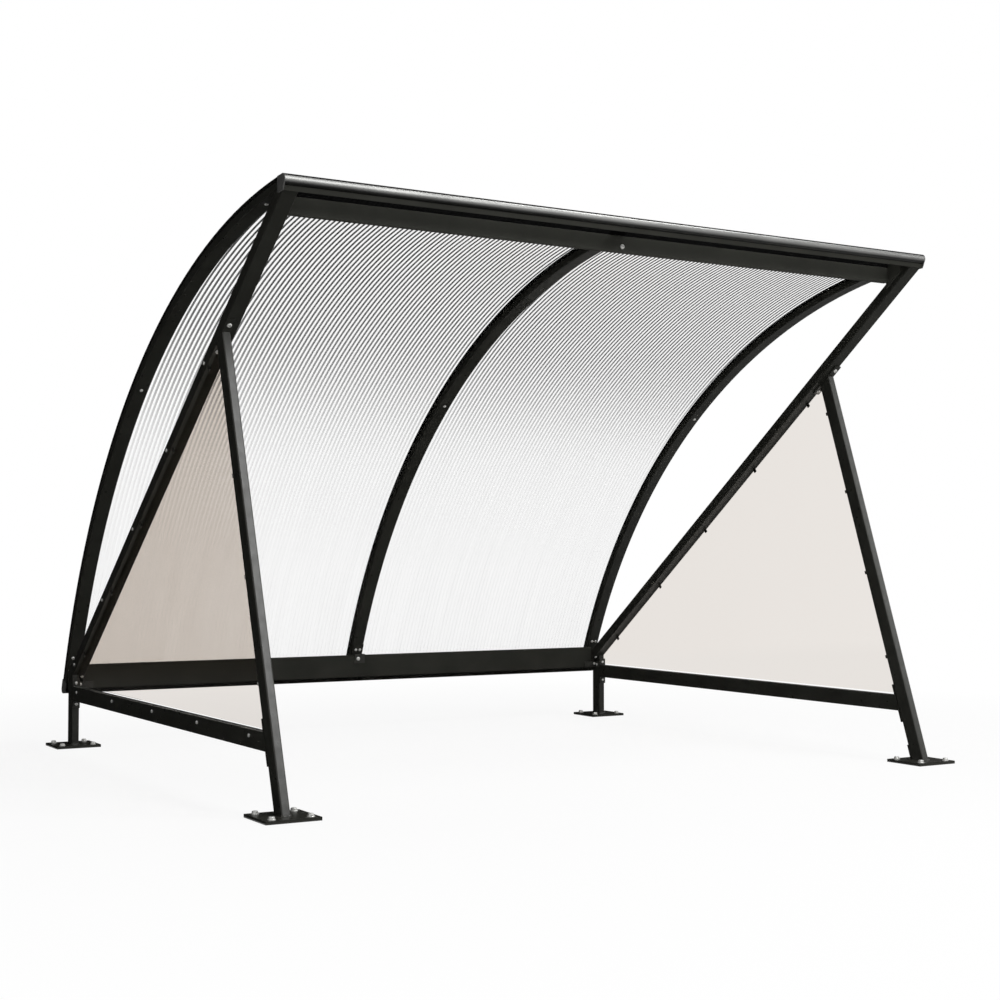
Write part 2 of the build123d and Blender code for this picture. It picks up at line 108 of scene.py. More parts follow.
stripInside = sheetOutside + lay["fitGap"]
stripOutside = stripInside + lay["stripThickness"]
print("layout worked out")


# camera where the photograph was taken from
shot = {"place": (-3.6249, -6.2869, 0.8721), "yaw": -0.5349, "pitch": 0.0369, "lens": 59.09,
        "shiftX": 0.0028, "shiftY": -0.0054}
camera = bpy.data.objects.new("camera", bpy.data.cameras.new("camera"))
scene.collection.objects.link(camera)
camera.location = shot["place"]
camera.rotation_euler = (math.pi / 2 + shot["pitch"], 0, shot["yaw"])
camera.data.lens = shot["lens"]
camera.data.shift_x = shot["shiftX"]
camera.data.shift_y = shot["shiftY"]
scene.camera = camera
print("camera placed")


# node helpers
def newMaterial(name):
    material = bpy.data.materials.new(name)
    material.use_nodes = True
    tree = material.node_tree
    return material, tree, tree.nodes["Principled BSDF"]


def addNode(tree, kind, settings=None, **inputs):
    node = tree.nodes.new(kind)
    for key, value in (settings or {}).items():
        setattr(node, key, value)
    for key, value in inputs.items():
        node.inputs[key].default_value = value
    return node


def objectNoise(tree, scale, detail=3.0, stretch=(1, 1, 1)):
    place = addNode(tree, "ShaderNodeTexCoord")
    mapping = addNode(tree, "ShaderNodeMapping", Scale=stretch)
    noise = addNode(tree, "ShaderNodeTexNoise", Scale=scale, Detail=detail)
    tree.links.new(place.outputs["Object"], mapping.inputs["Vector"])
    tree.links.new(mapping.outputs["Vector"], noise.inputs["Vector"])
    return noise.outputs["Fac"]


def objectHeight(tree, direction=(0, 0, 1)):
    # distance from the origin along a direction, upwards if none is given
    place = addNode(tree, "ShaderNodeTexCoord")
    along = addNode(tree, "ShaderNodeVectorMath", {"operation": "DOT_PRODUCT"})
    along.inputs[1].default_value = direction
    tree.links.new(place.outputs["Object"], along.inputs[0])
    return along.outputs["Value"]


def ranged(tree, value, low, high, fromLow=0.3, fromHigh=0.7):
    # a value carried from one range to another, from a noise's usual range if none is given
    node = addNode(tree, "ShaderNodeMapRange")
    for key, number in zip(("From Min", "From Max", "To Min", "To Max"), (fromLow, fromHigh, low, high)):
        node.inputs[key].default_value = number
    tree.links.new(value, node.inputs["Value"])
    return node.outputs["Result"]


def timesOf(tree, first, second):
    node = addNode(tree, "ShaderNodeMath", {"operation": "MULTIPLY"})
    tree.links.new(first, node.inputs[0])
    tree.links.new(second, node.inputs[1])
    return node.outputs["Value"]


def stopped(tree, value, stops):
    # colour ramp through (position, colour) stops
    ramp = addNode(tree, "ShaderNodeValToRGB")
    elements = ramp.color_ramp.elements
    while len(elements) < len(stops):
        elements.new(0.5)
    for element, (position, colour) in zip(elements, stops):
        element.position = position
        element.color = (*colour, 1)
    tree.links.new(value, ramp.inputs["Fac"])
    return ramp.outputs["Color"]


def tinted(tree, value, first, second, blendFrom=0.32, blendTo=0.68):
    return stopped(tree, value, ((blendFrom, first), (blendTo, second)))


def byHeight(tree, table):
    # a grey value read from a table of (height, value)
    low, high = table[0][0], table[-1][0]
    stops = [((height - low) / (high - low), (value, value, value)) for height, value in table]
    return stopped(tree, ranged(tree, objectHeight(tree), 0, 1, low, high), stops)


def bumped(tree, shader, heights, strength, distance):
    bump = addNode(tree, "ShaderNodeBump", Strength=strength, Distance=distance)
    tree.links.new(heights, bump.inputs["Height"])
    tree.links.new(bump.outputs["Normal"], shader.inputs["Normal"])


# coats: near-black paint with a fine orange peel, soft cloudiness and a little dust near the floor;
# satin on most tubes and plates, duller on the struts, matt on the rear rail, the skirts and the front beam;
# the front beam's coat is a paler copy, painted light that makes up for the shade under the nose and roof
coats = {
    "powder_coat": {"dark": (0.0195, 0.0198, 0.0165), "pale": (0.0270, 0.0273, 0.0232),
                    "shine": 0.30, "rough": (0.27, 0.35)},
    "strut_coat": {"dark": (0.0195, 0.0198, 0.0165), "pale": (0.0270, 0.0273, 0.0232),
                   "shine": 0.16, "rough": (0.32, 0.40)},
    "rail_coat": {"dark": (0.0215, 0.0218, 0.0185), "pale": (0.0275, 0.0278, 0.0236),
                  "shine": 0.05, "rough": (0.55, 0.65)},
    # painted light: the same near-black paint made about twice as pale, against the shade under the nose and
    # roof
    "beam_coat_painted_light": {"dark": (0.042, 0.0426, 0.0362), "pale": (0.050, 0.0506, 0.0430),
                  "shine": 0.10, "rough": (0.55, 0.65)},
}
dust = {"colour": (0.034, 0.032, 0.028), "reach": 0.16, "share": 0.4, "specks": 55}
peel = {"cloud": 7, "grain": 38, "relief": 520, "detail": 2, "bump": (0.16, 0.0005)}


def paintCoat(name):
    coat = coats[name]
    material, tree, shader = newMaterial(name)
    paint = tinted(tree, objectNoise(tree, peel["cloud"]), coat["dark"], coat["pale"])
    low = ranged(tree, objectHeight(tree), dust["share"], 0, 0.0, dust["reach"])
    specks = ranged(tree, objectNoise(tree, dust["specks"]), 0, 1)
    mixed = addNode(tree, "ShaderNodeMix", {"data_type": "RGBA"})
    mixed.inputs["B"].default_value = (*dust["colour"], 1)
    tree.links.new(timesOf(tree, low, specks), mixed.inputs["Factor"])
    tree.links.new(paint, mixed.inputs["A"])
    tree.links.new(mixed.outputs["Result"], shader.inputs["Base Color"])
    tree.links.new(ranged(tree, objectNoise(tree, peel["grain"]), *coat["rough"]), shader.inputs["Roughness"])
    shader.inputs["Specular IOR Level"].default_value = coat["shine"]
    bumped(tree, shader, objectNoise(tree, peel["relief"], peel["detail"]), *peel["bump"])
    return material


powderCoat, strutCoat, railCoat, beamLightenedCoat = (paintCoat(name) for name in coats)


# clear walls of the roof sheet: nearly clear on top, a little hazier low down, with faint drawing streaks
clear = {"colour": (0.46, 0.47, 0.46), "haze": ((0.3, 0.034), (0.9, 0.03), (1.5, 0.012), (2.1, 0.01)),
         "shine": 0.3, "grain": 90, "rough": (0.1, 0.2), "streaks": 24, "streakRange": (0.85, 1.15)}
drawn = {"detail": 2, "stretch": (1, 0.05, 0.05)}
sheetClear, tree, shader = newMaterial("sheet_clear")
shader.inputs["Base Color"].default_value = (*clear["colour"], 1)
shader.inputs["Specular IOR Level"].default_value = clear["shine"]
grain = ranged(tree, objectNoise(tree, clear["grain"], **drawn), *clear["rough"])
tree.links.new(grain, shader.inputs["Roughness"])
streak = ranged(tree, objectNoise(tree, clear["streaks"], **drawn), *clear["streakRange"])
tree.links.new(timesOf(tree, byHeight(tree, clear["haze"]), streak), shader.inputs["Alpha"])

# painted shade of the roof sheet: near-black bands, dense under the top of the roof and fading out below,
# standing in for the dark lines that the ribs show by refraction at a slant
band = {"colour": (0.012, 0.013, 0.012), "shine": 0.08, "grain": 60, "rough": (0.4, 0.5),
        "fade": ((0.80, 0.03), (0.95, 0.06), (1.13, 0.12), (1.23, 0.16), (1.33, 0.215), (1.42, 0.31),
                 (1.50, 0.43), (1.57, 0.545), (1.65, 0.665), (1.72, 0.755), (1.78, 0.82), (1.91, 0.885),
                 (2.07, 0.945))}
sheetPaintedShade, tree, shader = newMaterial("sheet_painted_shade")
shader.inputs["Base Color"].default_value = (*band["colour"], 1)
shader.inputs["Specular IOR Level"].default_value = band["shine"]
grain = ranged(tree, objectNoise(tree, band["grain"], **drawn), *band["rough"])
tree.links.new(grain, shader.inputs["Roughness"])
tree.links.new(byHeight(tree, band["fade"]), shader.inputs["Alpha"])

# tinted panel: clear sheet with a light bronze tint, denser where the light crosses it at a slant,
# and paler along its foot, under a line that drops a little towards the back
tint = {"slants": ((0.25, (0.83, 0.795, 0.76)), (0.44, (0.80, 0.76, 0.722)),
                   (0.60, (0.625, 0.565, 0.51)), (0.75, (0.59, 0.525, 0.465))),
        "cloud": 2.5, "cloudRange": (0.97, 1.03), "grain": 12, "detail": 2, "rough": (0.0, 0.02),
        "bend": 1.02,
        "foot": (0.80, 0.765, 0.73), "footLean": (0, 0.0745, 1), "footTop": 0.37, "fadeTop": 0.435}
tintedPanel, tree, shader = newMaterial("tinted_panel")
slant = addNode(tree, "ShaderNodeLayerWeight", Blend=0.5)
cloud = ranged(tree, objectNoise(tree, tint["cloud"], tint["detail"]), *tint["cloudRange"])
footShare = ranged(tree, objectHeight(tree, tint["footLean"]), 1, 0, tint["footTop"], tint["fadeTop"])
paled = addNode(tree, "ShaderNodeMix", {"data_type": "RGBA"})
paled.inputs["B"].default_value = (*tint["foot"], 1)
tree.links.new(footShare, paled.inputs["Factor"])
bronze = stopped(tree, timesOf(tree, slant.outputs["Facing"], cloud), tint["slants"])
tree.links.new(bronze, paled.inputs["A"])
tree.links.new(paled.outputs["Result"], shader.inputs["Base Color"])
grain = ranged(tree, objectNoise(tree, tint["grain"], tint["detail"]), *tint["rough"])
tree.links.new(grain, shader.inputs["Roughness"])
shader.inputs["Transmission Weight"].default_value = 1
shader.inputs["IOR"].default_value = tint["bend"]


def plainFinish(name, look):
    # two shades blended by a noise, a roughness noise and a fine relief, drawn out along X if a share says so
    material, tree, shader = newMaterial(name)
    grain = objectNoise(tree, look["grain"], look["grainDetail"], (look.get("grainDrawn", 1), 1, 1))
    relief = objectNoise(tree, look["relief"], look["reliefDetail"], (look.get("reliefDrawn", 1), 1, 1))
    shade = tinted(tree, objectNoise(tree, look["cloud"]), look["dark"], look["pale"])
    tree.links.new(shade, shader.inputs["Base Color"])
    tree.links.new(ranged(tree, grain, *look["rough"]), shader.inputs["Roughness"])
    bumped(tree, shader, relief, *look["bump"])
    for socket, value in look["sockets"].items():
        shader.inputs[socket].default_value = value
    return material


# smoother paint on the strips over the sheets, with faint drawing lines along X
gloss = {"dark": (0.009, 0.009, 0.008), "pale": (0.014, 0.014, 0.0125), "cloud": 5, "rough": (0.22, 0.32),
         "grain": 60, "grainDetail": 2, "grainDrawn": 0.06, "relief": 320, "reliefDetail": 2,
         "reliefDrawn": 0.02, "bump": (0.08, 0.0004), "sockets": {"Specular IOR Level": 0.45}}
glossProfile = plainFinish("gloss_profile", gloss)

# satin anodised metal of the half-round edge profiles, with faint drawing lines along X
metal = {"dark": (0.145, 0.146, 0.142), "pale": (0.175, 0.176, 0.171), "cloud": 5, "rough": (0.36, 0.44),
         "grain": 60, "grainDetail": 2, "grainDrawn": 0.06, "relief": 320, "reliefDetail": 2,
         "reliefDrawn": 0.02, "bump": (0.08, 0.0004), "sockets": {"Metallic": 1}}
darkMetal = plainFinish("dark_metal", metal)

# rubber of the lips and the seal
rubber = {"dark": (0.002, 0.002, 0.002), "pale": (0.004, 0.004, 0.004), "cloud": 90, "rough": (0.75, 0.9),
          "grain": 200, "grainDetail": 3, "relief": 700, "reliefDetail": 2, "bump": (0.3, 0.0004),
          "sockets": {"Specular IOR Level": 0.06}}
sealRubber = plainFinish("seal_rubber", rubber)

# plastic of the end caps
plastic = {"dark": (0.07, 0.07, 0.067), "pale": (0.10, 0.10, 0.096), "cloud": 30, "rough": (0.45, 0.6),
           "grain": 150, "grainDetail": 3, "relief": 900, "reliefDetail": 2, "bump": (0.3, 0.0003),
           "sockets": {"Specular IOR Level": 0.25}}
capPlastic = plainFinish("cap_plastic", plastic)

# zinc plate of the fasteners
zinc = {"dark": (0.55, 0.55, 0.53), "pale": (0.80, 0.80, 0.77), "cloud": 260, "rough": (0.24, 0.42),
        "grain": 420, "grainDetail": 3, "relief": 1400, "reliefDetail": 2, "bump": (0.2, 0.0002),
        "sockets": {"Metallic": 0.4}}
zincPlate = plainFinish("zinc_plate", zinc)

finishes = {"frame_paint": powderCoat, "profile_paint": glossProfile, "roof_sheet": sheetClear,
            "side_panel": tintedPanel, "seal": sealRubber, "cap_plastic": capPlastic, "zinc_plate": zincPlate}
# the front beam takes the paler copy of the paint, which is painted light
ownCoats = {"front_beam": beamLightenedCoat, "rear_rail": railCoat, "left_strut": strutCoat, "right_strut": strutCoat}
for part in frame["record"]["subparts"]:
    mesh = nodes[part["node"]].data
    mesh.materials.clear()
    mesh.materials.append(ownCoats.get(part["node"], finishes[part["material_slot"]]))
print("finishes made")


# mesh helpers
def putPiece(name, points, faces, slotName, finish=None, faceFinish=None, sharpFrom=0.6):
    mesh = bpy.data.meshes.new(name)
    mesh.from_pydata(points.reshape(-1, 3).tolist(), [], faces if isinstance(faces, list) else faces.tolist())
    for entry in finish or [finishes[slotName]]:
        mesh.materials.append(entry)
    if faceFinish is not None:
        mesh.polygons.foreach_set("material_index", faceFinish.astype(np.int32))
    mesh.polygons.foreach_set("use_smooth", np.ones(len(faces), bool))
    mesh.set_sharp_from_angle(angle=sharpFrom)
    mesh.update()
    piece = bpy.data.objects.new(name, mesh)
    scene.collection.objects.link(piece)
    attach(piece, "root")
    return piece


def gridFaces(rows, columns, closeRows=False, closeColumns=False):
    # quads between neighbours of a grid of points, numbered row by row
    r = np.arange(rows if closeRows else rows - 1)[:, None]
    c = np.arange(columns if closeColumns else columns - 1)[None, :]
    nextR, nextC = (r + 1) % rows, (c + 1) % columns
    corners = (r * columns + c, r * columns + nextC, nextR * columns + nextC, nextR * columns + c)
    return np.stack(np.broadcast_arrays(*corners), -1).reshape(-1, 4)


def carriedProfile(name, grid, slotName, finish=None, columnFinish=None):
    # grid of (station, point round a closed profile, xyz), with a flat face on each end
    rows, columns = grid.shape[:2]
    faces = gridFaces(rows, columns, False, True).tolist()
    faces.append(list(range(columns))[::-1])
    faces.append(list(range((rows - 1) * columns, rows * columns)))
    faceFinish = None if columnFinish is None else np.append(np.tile(columnFinish, rows - 1), [0, 0])
    return putPiece(name, grid, faces, slotName, finish, faceFinish)


def onArc(x, radius, angle):
    # point = centre of the roof's circle + radius * (cos, sin) of the angle, at a place along X
    x, radius, angle = np.broadcast_arrays(x, radius, angle)
    return np.stack([x, arcCentre[0] + radius * np.cos(angle), arcCentre[1] + radius * np.sin(angle)], -1)


# roof sheets: a twin-wall section carried round the arc, with a band of painted shade along one half of every
# channel
roof = {"ribPitch": 0.020, "ribThickness": 0.0010, "bandWidth": 0.0098, "wall": 0.0009, "stations": 73}


def twinWallSheet(name, node):
    # point = centre + radius * (cos, sin) of the angle; the section's grid has four radii,
    # and three lines per bay: two sides of a rib and the far edge of its band
    low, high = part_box(node)
    bays = round((high.x - low.x) / roof["ribPitch"])
    ribs = np.linspace(low.x, high.x - roof["ribThickness"], bays + 1)
    steps = np.array([0, roof["ribThickness"], roof["ribThickness"] + roof["bandWidth"]])
    lines = (ribs[:, None] + steps).ravel()[:-1]
    radii = np.array([sheetInside, sheetInside + roof["wall"], sheetOutside - roof["wall"], sheetOutside])
    angles = np.linspace(rearAngle, frontAngle, roof["stations"])
    points = onArc(lines[None, None, :], radii[None, :, None], angles[:, None, None])
    number = np.arange(points.size // 3).reshape(points.shape[:3])

    def stretched(first, second, level, otherLevel=None):
        # strip between two sets of section lines, carried along all stations
        other = level if otherLevel is None else otherLevel
        a, b = number[:-1, level, first], number[:-1, other, second]
        c, d = number[1:, other, second], number[1:, level, first]
        return np.stack([a, b, c, d], -1).reshape(-1, 4)

    count = len(lines)
    left, right = np.arange(count - 1), np.arange(1, count)
    ribCells, bandCells, openCells = (left[left % 3 == kind] for kind in range(3))
    ribRight, nextRib = bandCells, openCells + 1
    both = np.concatenate([bandCells, openCells])
    clearParts = [
        stretched(right, left, 0), stretched(left, right, 3),
        stretched(openCells, openCells + 1, 1), stretched(both + 1, both, 2),
        stretched(ribRight, ribRight, 2, 1), stretched(nextRib, nextRib, 1, 2)]
    for level in range(3):
        clearParts.append(stretched(left[:1], left[:1], level, level + 1))
        clearParts.append(stretched(right[-1:], right[-1:], level + 1, level))
    for station, turned in ((0, False), (len(angles) - 1, True)):
        for level in range(3):
            cells = left if level != 1 else ribCells
            quad = np.stack([number[station, level, cells], number[station, level, cells + 1],
                             number[station, level + 1, cells + 1], number[station, level + 1, cells]], -1)
            clearParts.append(quad[:, ::-1] if turned else quad)
    # faces of painted shade along one half of every channel
    bands = stretched(bandCells, bandCells + 1, 1)
    faces = np.concatenate(clearParts + [bands])
    finishIndex = np.arange(len(faces)) >= len(faces) - len(bands)
    piece = putPiece(name, points, faces, "roof_sheet", [sheetClear, sheetPaintedShade], finishIndex)
    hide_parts(node)


for side in ("left", "right"):
    twinWallSheet(side + "_twin_wall_sheet", side + "_roof_sheet")
print("roof sheets made")


# edge profiles: half round with a skirt under it and a flange over the sheets, carried along X
nose = {"radius": 0.020, "wall": 0.003, "skirt": 0.0186, "flange": 0.062, "edge": 0.0012, "arcSteps": 31,
        "lipAndPaintedDarkSteps": 10, "cornerSteps": 5, "flangeSteps": 9, "stations": 5}


def edgeProfile(name, node, angle, outward):
    # profile = half circle, skirt with rounded foot, back wall, flange under and over; point = (x, profile);
    # near-black rubber on the top of the half round is a lip and painted dark reflection along the top edge,
    # and the skirt has the matt coat
    r, wall, edge = nose["radius"], nose["wall"], nose["edge"]
    foot = -r - nose["skirt"]
    turn = np.linspace(math.pi / 2, math.asin(wall / r) - math.pi / 2, nose["arcSteps"])
    corner = np.linspace(0, math.pi / 2, nose["cornerSteps"])
    ahead = np.concatenate([r * np.cos(turn), wall - edge + edge * np.cos(corner),
                            edge - edge * np.sin(corner)])
    above = np.concatenate([r * np.sin(turn), foot + edge - edge * np.sin(corner),
                            foot + edge - edge * np.cos(corner)])
    tangent = outward * np.array([-math.sin(angle), math.cos(angle)])
    radial = np.array([math.cos(angle), math.sin(angle)])
    front = arcCentre + (stripOutside - r) * radial + ahead[:, None] * tangent + above[:, None] * radial
    under = angle - outward * np.linspace(0, nose["flange"] / stripInside, nose["flangeSteps"])
    back = np.concatenate([onArc(0.0, stripInside, under), onArc(0.0, stripOutside, under[:0:-1])])[:, 1:]
    profile = np.concatenate([front, back])[::outward]
    x = np.linspace(-outerFace, outerFace, nose["stations"])
    grid = np.concatenate([np.broadcast_to(x[:, None, None], (len(x), len(profile), 1)),
                           np.broadcast_to(profile, (len(x), *profile.shape))], -1)
    finish = [darkMetal, railCoat, sealRubber]
    # near-black rubber on the first points from the top: a lip, and painted dark reflection of the top edge
    coat = np.where(np.arange(len(profile)) < nose["lipAndPaintedDarkSteps"], 2, 0)
    coat[nose["arcSteps"] - 1:nose["arcSteps"] + 2 * nose["cornerSteps"]] = 1
    coat = coat if outward > 0 else np.roll(coat[::-1], -1)
    piece = carriedProfile(name, grid, "profile_paint", finish, coat)
    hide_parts(node)


edgeProfile("front_edge_profile", "front_nose", frontAngle, 1)
edgeProfile("rear_edge_profile", "rear_nose", rearAngle, -1)

# rubber lips along the sides of the strips, on top of the sheets
lip = {"width": 0.005, "height": 0.0022, "endGap": 0.0235, "sides": 9, "stations": 97}
angles = np.linspace(rearAngle + lip["endGap"], frontAngle - lip["endGap"], lip["stations"])[:, None]
swing = np.linspace(0, math.pi, lip["sides"])
clampLow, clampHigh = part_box("middle_clamp_strip")
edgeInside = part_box("right_edge_strip")[0].x
lipEdges = ((clampLow.x, -1), (clampHigh.x, 1), (-edgeInside, 1), (edgeInside, -1))   # place and free side
for number, (edgeX, side) in enumerate(lipEdges):
    # profile = half ellipse standing on the sheet beside the strip's edge, carried round the arc
    x = edgeX + side * lip["width"] / 2 * (1 - np.cos(swing))
    grid = onArc(x[None, ::-side], sheetOutside + lip["height"] * np.sin(swing)[None, ::-side], angles)
    carriedProfile("strip_lip_%d" % (number + 1), grid, "seal")
print("edge profiles and lips made")


# fasteners
def turnedForm(rings, sides):
    # rings of (radius, height, hex share): a ring's points lie on a circle, on a hexagon, or between them
    rings = np.array(rings, float)
    turn = np.linspace(0, 2 * math.pi, sides, endpoint=False)
    hexagon = 1 / np.cos(turn % (math.pi / 3) - math.pi / 6)
    radius = rings[:, :1] * (1 + rings[:, 2:] * (hexagon - 1))
    heights = np.broadcast_to(rings[:, 1:2], radius.shape)
    return np.stack([radius * np.cos(turn), radius * np.sin(turn), heights], -1)


def setOnSpots(form, spots, axes, nearUpright=0.9):
    # each copy = spot + form's x, y, z along two cross directions and the axis
    axes = axes / np.linalg.norm(axes, axis=1, keepdims=True)
    helper = np.where(np.abs(axes[:, 2:]) < nearUpright, [[0, 0, 1.0]], [[1.0, 0, 0]])
    across = np.cross(helper, axes)
    across /= np.linalg.norm(across, axis=1, keepdims=True)
    other = np.cross(axes, across)
    frames = np.stack([across, other, axes], 1)
    return spots[:, None, :] + form.reshape(-1, 3) @ frames


def fasteners(name, rings, spots, axes, sides=24):
    # copies of one turned form; its first and last ring are points on the axis, merged into one corner each
    form = turnedForm(rings, sides)
    body = gridFaces(len(rings) - 2, sides, False, True) + 1
    last = (len(rings) - 2) * sides + 1
    turn = np.arange(sides)
    following = (turn + 1) % sides
    foot = np.stack([np.zeros(sides, int), following + 1, turn + 1], -1)
    top = np.stack([np.full(sides, last), last - sides + turn, last - sides + following], -1)
    kept = np.concatenate([form[0, :1], form[1:-1].reshape(-1, 3), form[-1, :1]])
    points = setOnSpots(kept, np.asarray(spots, float), np.asarray(axes, float))
    shift = (np.arange(len(points)) * len(kept))[:, None, None]
    faces = [(part[None] + shift).reshape(-1, part.shape[1]).tolist() for part in (body, foot, top)]
    putPiece(name, points, faces[0] + faces[1] + faces[2], "zinc_plate")


def washerRings(radius, height, rim, edge):
    # a flat ring with a slanted upper edge
    return [(0, 0, 0), (radius, 0, 0), (radius, rim, 0), (radius - edge, height, 0), (0, height, 0)]


def hexRings(head):
    # a hexagon head over a round flange, going round again towards its crown
    radius, height, rim = head["radius"], head["height"], head["flangeHeight"]
    return [(0, head["base"], 0), (head["flange"], head["base"], 0), (head["flangeTop"], rim, 0),
            (radius, rim, 1), (radius, height, 1), (head["crown"], head["crownHeight"], 0),
            (head["flat"], head["top"], 0), (0, head["top"], 0)]


button = {"sunk": 0.0004, "rimShare": 0.25, "socketRim": 1.25, "steps": 7}


def domeRings(radius, height, socket, depth):
    # a button head: short rim, dome of a quarter ellipse, hexagon socket
    steps = np.linspace(0, 1, button["steps"])
    reach = 1 - (socket * button["socketRim"] / radius)
    rim = height * button["rimShare"]
    dome = [(radius * (1 - reach * s), rim + (height - rim) * math.sqrt(1 - (1 - s) ** 2), 0) for s in steps]
    return [(0, -button["sunk"], 0), (radius, -button["sunk"], 0), *dome,
            (socket, height, 1), (socket, height - depth, 1), (0, height - depth, 1)]


def bothSides(spots, axes):
    # right-hand spots and their mirror images on the left
    spots, axes = np.array(spots, float), np.array(axes, float)
    flip = np.array([-1.0, 1, 1])
    return np.concatenate([spots, spots * flip]), np.concatenate([axes, axes * flip])


def fromFeet(x, y, z):
    # a spot given from the front feet
    return (x, y + frontY, z)


def underArc(x, radius, y):
    # spot on a circle about the roof's centre, at a place behind the front feet, and the way to that centre
    angle = math.acos((y + frontY - arcCentre[0]) / radius)
    return tuple(onArc(x, radius, angle)), (0, -math.cos(angle), -math.sin(angle))


heads = {"big": {"radius": 0.0095, "height": 0.0055, "socket": 0.0034, "depth": 0.0042},
         "small": {"radius": 0.0072, "height": 0.0042, "socket": 0.0024, "depth": 0.0032},
         "tiny": {"radius": 0.0048, "height": 0.0022, "socket": 0.0016, "depth": 0.0014}}
big, small, tiny = (domeRings(**head) for head in heads.values())

# anchor bolts with washers on the four foot plates
anchor = {"spacing": 0.070, "washer": {"radius": 0.014, "height": 0.0024, "rim": 0.0018, "edge": 0.0005},
          "washerSides": 32,
          "head": {"radius": 0.0095, "height": 0.0085, "base": 0.0022, "flange": 0.01064,
                   "flangeTop": 0.01045, "flangeHeight": 0.0034, "crown": 0.008835, "crownHeight": 0.0107,
                   "flat": 0.00475, "top": 0.0109}}
corners = np.array([(sx, sy) for sx in (-1, 1) for sy in (-1, 1)]) * anchor["spacing"]
feet = np.array([(sx * halfSpan, y) for sx in (-1, 1) for y in (frontY, rearY)])
spots = (feet[:, None] + corners[None]).reshape(-1, 2)
spots = np.column_stack([spots, np.full(len(spots), plateTop)])
upright = np.tile([0, 0, 1.0], (len(spots), 1))
fasteners("foot_washers", washerRings(**anchor["washer"]), spots, upright, anchor["washerSides"])
fasteners("foot_bolts", hexRings(anchor["head"]), spots, upright)

# screws in the undersides of the arches, by their places behind the front feet
archScrew = {"middle": 1.526, "top": 0.200, "foot": 2.436, "bracket": 2.432, "bracketDrop": 0.0053,
             "aside": 0.011}
sides = (-archMiddle, archMiddle)
pair = (-archScrew["aside"], archScrew["aside"])
archSpots = [underArc(x, archInside, archScrew["middle"]) for x in (-archMiddle, 0, archMiddle)]
archSpots += [underArc(x, archInside, archScrew["top"]) for x in sides]
archSpots += [underArc(x + dx, archInside, archScrew["foot"]) for x in sides for dx in pair]
archSpots += [underArc(dx, archInside - archScrew["bracketDrop"], archScrew["bracket"]) for dx in pair]
fasteners("arch_screws", small, *zip(*archSpots))

# screws with washers along the strips on top of the roof
roofScrew = {"count": 9, "first": 0.052, "last": 0.125, "lines": (-1.438, 0, 1.438),
             "washer": {"radius": 0.0095, "height": 0.0016, "rim": 0.00096, "edge": 0.00095}}
angles = np.linspace(rearAngle + roofScrew["first"], frontAngle - roofScrew["last"], roofScrew["count"])
x = np.array(roofScrew["lines"])
spots = onArc(x[:, None], stripOutside, angles[None, :]).reshape(-1, 3)
axes = np.tile(np.stack([np.zeros_like(angles), np.cos(angles), np.sin(angles)], -1), (len(x), 1))
fasteners("roof_washers", washerRings(**roofScrew["washer"]), spots, axes)
fasteners("roof_screws", small, spots + axes * roofScrew["washer"]["height"], axes)

# bolts of the brackets of the middle arch and of the corner brackets, as spots from the front feet
bracketBolt = {"rear": (-0.009, 2.408, 0.352), "front": (0.008, 0.118, 2.065)}
fasteners("bracket_bolts", big, *zip(*[(fromFeet(*spot), (0, -1, 0)) for spot in bracketBolt.values()]))
cornerBolt = {"rail": ((1.419, 2.408, 0.281), (0, -1, 0)), "post": ((1.427, 2.394, 0.277), (-1, 0, 0))}
cornerSpots = [(fromFeet(*spot), axis) for spot, axis in cornerBolt.values()]
fasteners("corner_bolts", small, *bothSides(*zip(*cornerSpots)))

# side rails: bolts of the end plates and screws along the outer face
endPlate = {"thickness": 0.008, "rearFace": 2.369, "rearAside": 0.048, "frontAside": 0.063}
plateSpots = []
for aside in (-endPlate["rearAside"], endPlate["rearAside"]):
    plateSpots.append((fromFeet(halfSpan, endPlate["rearFace"], railMiddle + aside), (0, -1, 0)))
legMiddle = railMiddle / legAlong[1]
for aside in (-endPlate["frontAside"], endPlate["frontAside"]):
    y, z = (legMiddle + aside) * legAlong + (tubeDepth / 2 + endPlate["thickness"]) * legBack
    plateSpots.append((fromFeet(halfSpan, y, z), (0, *legBack)))
fasteners("end_plate_bolts", small, *bothSides(*zip(*plateSpots)))
railScrew = {"places": (0.258, 0.767, 1.274, 1.791, 2.309), "height": 0.252}
railSpots = [(fromFeet(outerFace, y, railScrew["height"]), (1, 0, 0)) for y in railScrew["places"]]
fasteners("rail_screws", small, *bothSides(*zip(*railSpots)))

# struts: screws along the outer face, bolts of leg flanges and rear ends, by their way down the strut
strutBolt = {"screws": (0.891, 1.399, 1.907, 2.415, 2.923), "flange": (0.652, 0.792),
             "flangeThickness": 0.008, "heel": 2.990, "heelX": 1.4165}
strutSpots = [((outerFace, *(strutTop + s * strutAlong)), (1, 0, 0)) for s in strutBolt["screws"]]
fasteners("strut_screws", small, *bothSides(*zip(*strutSpots)))
strutUnder = strutTop - lay["strutDepth"] / 2 * strutUp
flangeUnder = strutUnder - strutBolt["flangeThickness"] * strutUp
flangeSpots = [((halfSpan, *(flangeUnder + s * strutAlong)), (0, *-strutUp)) for s in strutBolt["flange"]]
fasteners("flange_bolts", big, *bothSides(*zip(*flangeSpots)))
heelSpot = (strutBolt["heelX"], *(strutUnder + strutBolt["heel"] * strutAlong))
fasteners("strut_heel_bolts", small, *bothSides([heelSpot], [(0, *-strutUp)]))

# rivets of the panel clips along the back of the leg
clip = {"legShares": (0.094, 0.354, 0.616, 0.88), "inset": 0.0175, "face": 1.456}


def crossing(point, direction, other, otherDirection):
    # where two lines of the side view meet
    away = other - point
    turn = direction[0] * otherDirection[1] - direction[1] * otherDirection[0]
    return point + direction * (away[0] * otherDirection[1] - away[1] * otherDirection[0]) / turn


